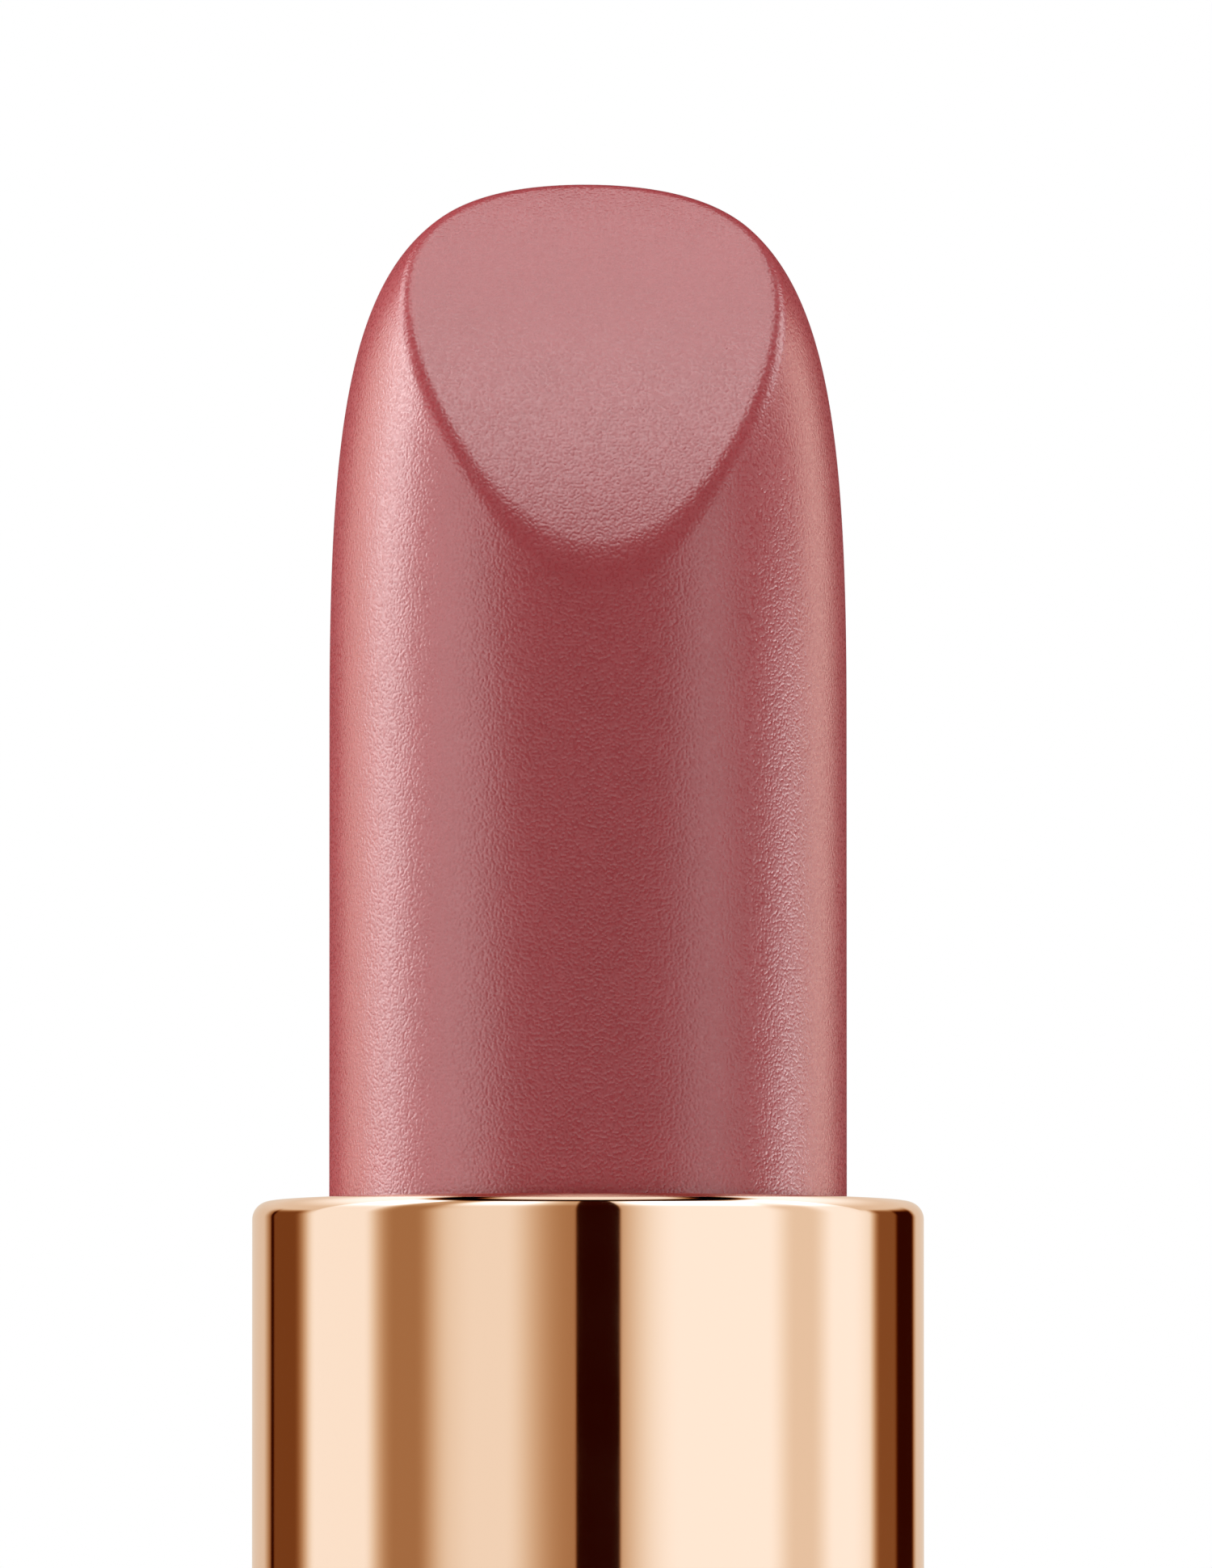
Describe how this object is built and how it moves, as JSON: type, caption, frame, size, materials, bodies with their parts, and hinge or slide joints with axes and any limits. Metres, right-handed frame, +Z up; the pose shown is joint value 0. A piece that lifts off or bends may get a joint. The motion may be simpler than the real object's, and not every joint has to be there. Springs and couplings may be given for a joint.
{
  "type": "lipstick case",
  "caption": "Twist-up lipstick case, open with its slant-cut bullet raised; turning the sleeve on the base lowers the bullet, and the loose cap stands beside it.",
  "frame": {"origin": "centre of the base's underside, on the case's axis", "axes": "+Z up the case's axis towards the bullet; the bullet's slanted face looks towards -Y; +X is to the right seen from that side"},
  "size_m": [0.045, 0.031, 0.0779],
  "materials": {
    "pomade": "dusty rose pomade, satin with a fine pebbled grain",
    "rose_gold_sleeve": "polished, anodised rose gold",
    "rose_gold_trim": "turned and polished, anodised rose gold",
    "black_lacquer": "gloss black lacquer over drawn aluminium",
    "white_plastic": "moulded, satin",
    "black_plastic": "moulded, satin",
    "natural_plastic": "moulded, satin, uncoloured",
    "ivory_plastic": "moulded, glossy",
    "steel_weight": "turned, zinc plated",
    "magnet": "sintered, nickel plated",
    "paper_label": "matt coated paper, blank",
    "silicone": "translucent silicone, greased"
  },
  "bodies": {
    "base": {"base_shell": "black_lacquer", "shade_label": "paper_label", "base_liner": "white_plastic", "base_weight": "steel_weight", "base_collar": "rose_gold_trim", "closure_magnet": "magnet", "inner_body": "natural_plastic", "torque_ring": "silicone"},
    "sleeve": {"outer_sleeve": "rose_gold_sleeve", "cam_sleeve": "natural_plastic"},
    "carrier": {"cup": "ivory_plastic", "bullet": "pomade"},
    "cap": {"cap_shell": "black_lacquer", "cap_medallion": "rose_gold_trim", "cap_weight": "steel_weight", "cap_liner": "black_plastic", "cap_collar": "rose_gold_trim", "cap_keeper": "steel_weight"}
  },
  "joints": [
    {"name": "sleeve_twist", "type": "hinge", "parent": "base", "child": "sleeve", "pos_m": [0, 0, 0.054], "axis": [0, 0, 1], "range_deg": [0, 540.1]},
    {"name": "bullet_lift", "type": "slide", "parent": "base", "child": "carrier", "axis": [0, 0, 1], "range_m": [-0.025, 0]},
    {"name": "cap_lift", "type": "slide", "parent": "base", "child": "cap", "axis": [0, 0, 1], "range_m": [0, 0.06]}
  ],
  "couplings": [
    {"joint": "sleeve_twist", "follows": "bullet_lift", "rad_per_m": -376.99}
  ]
}
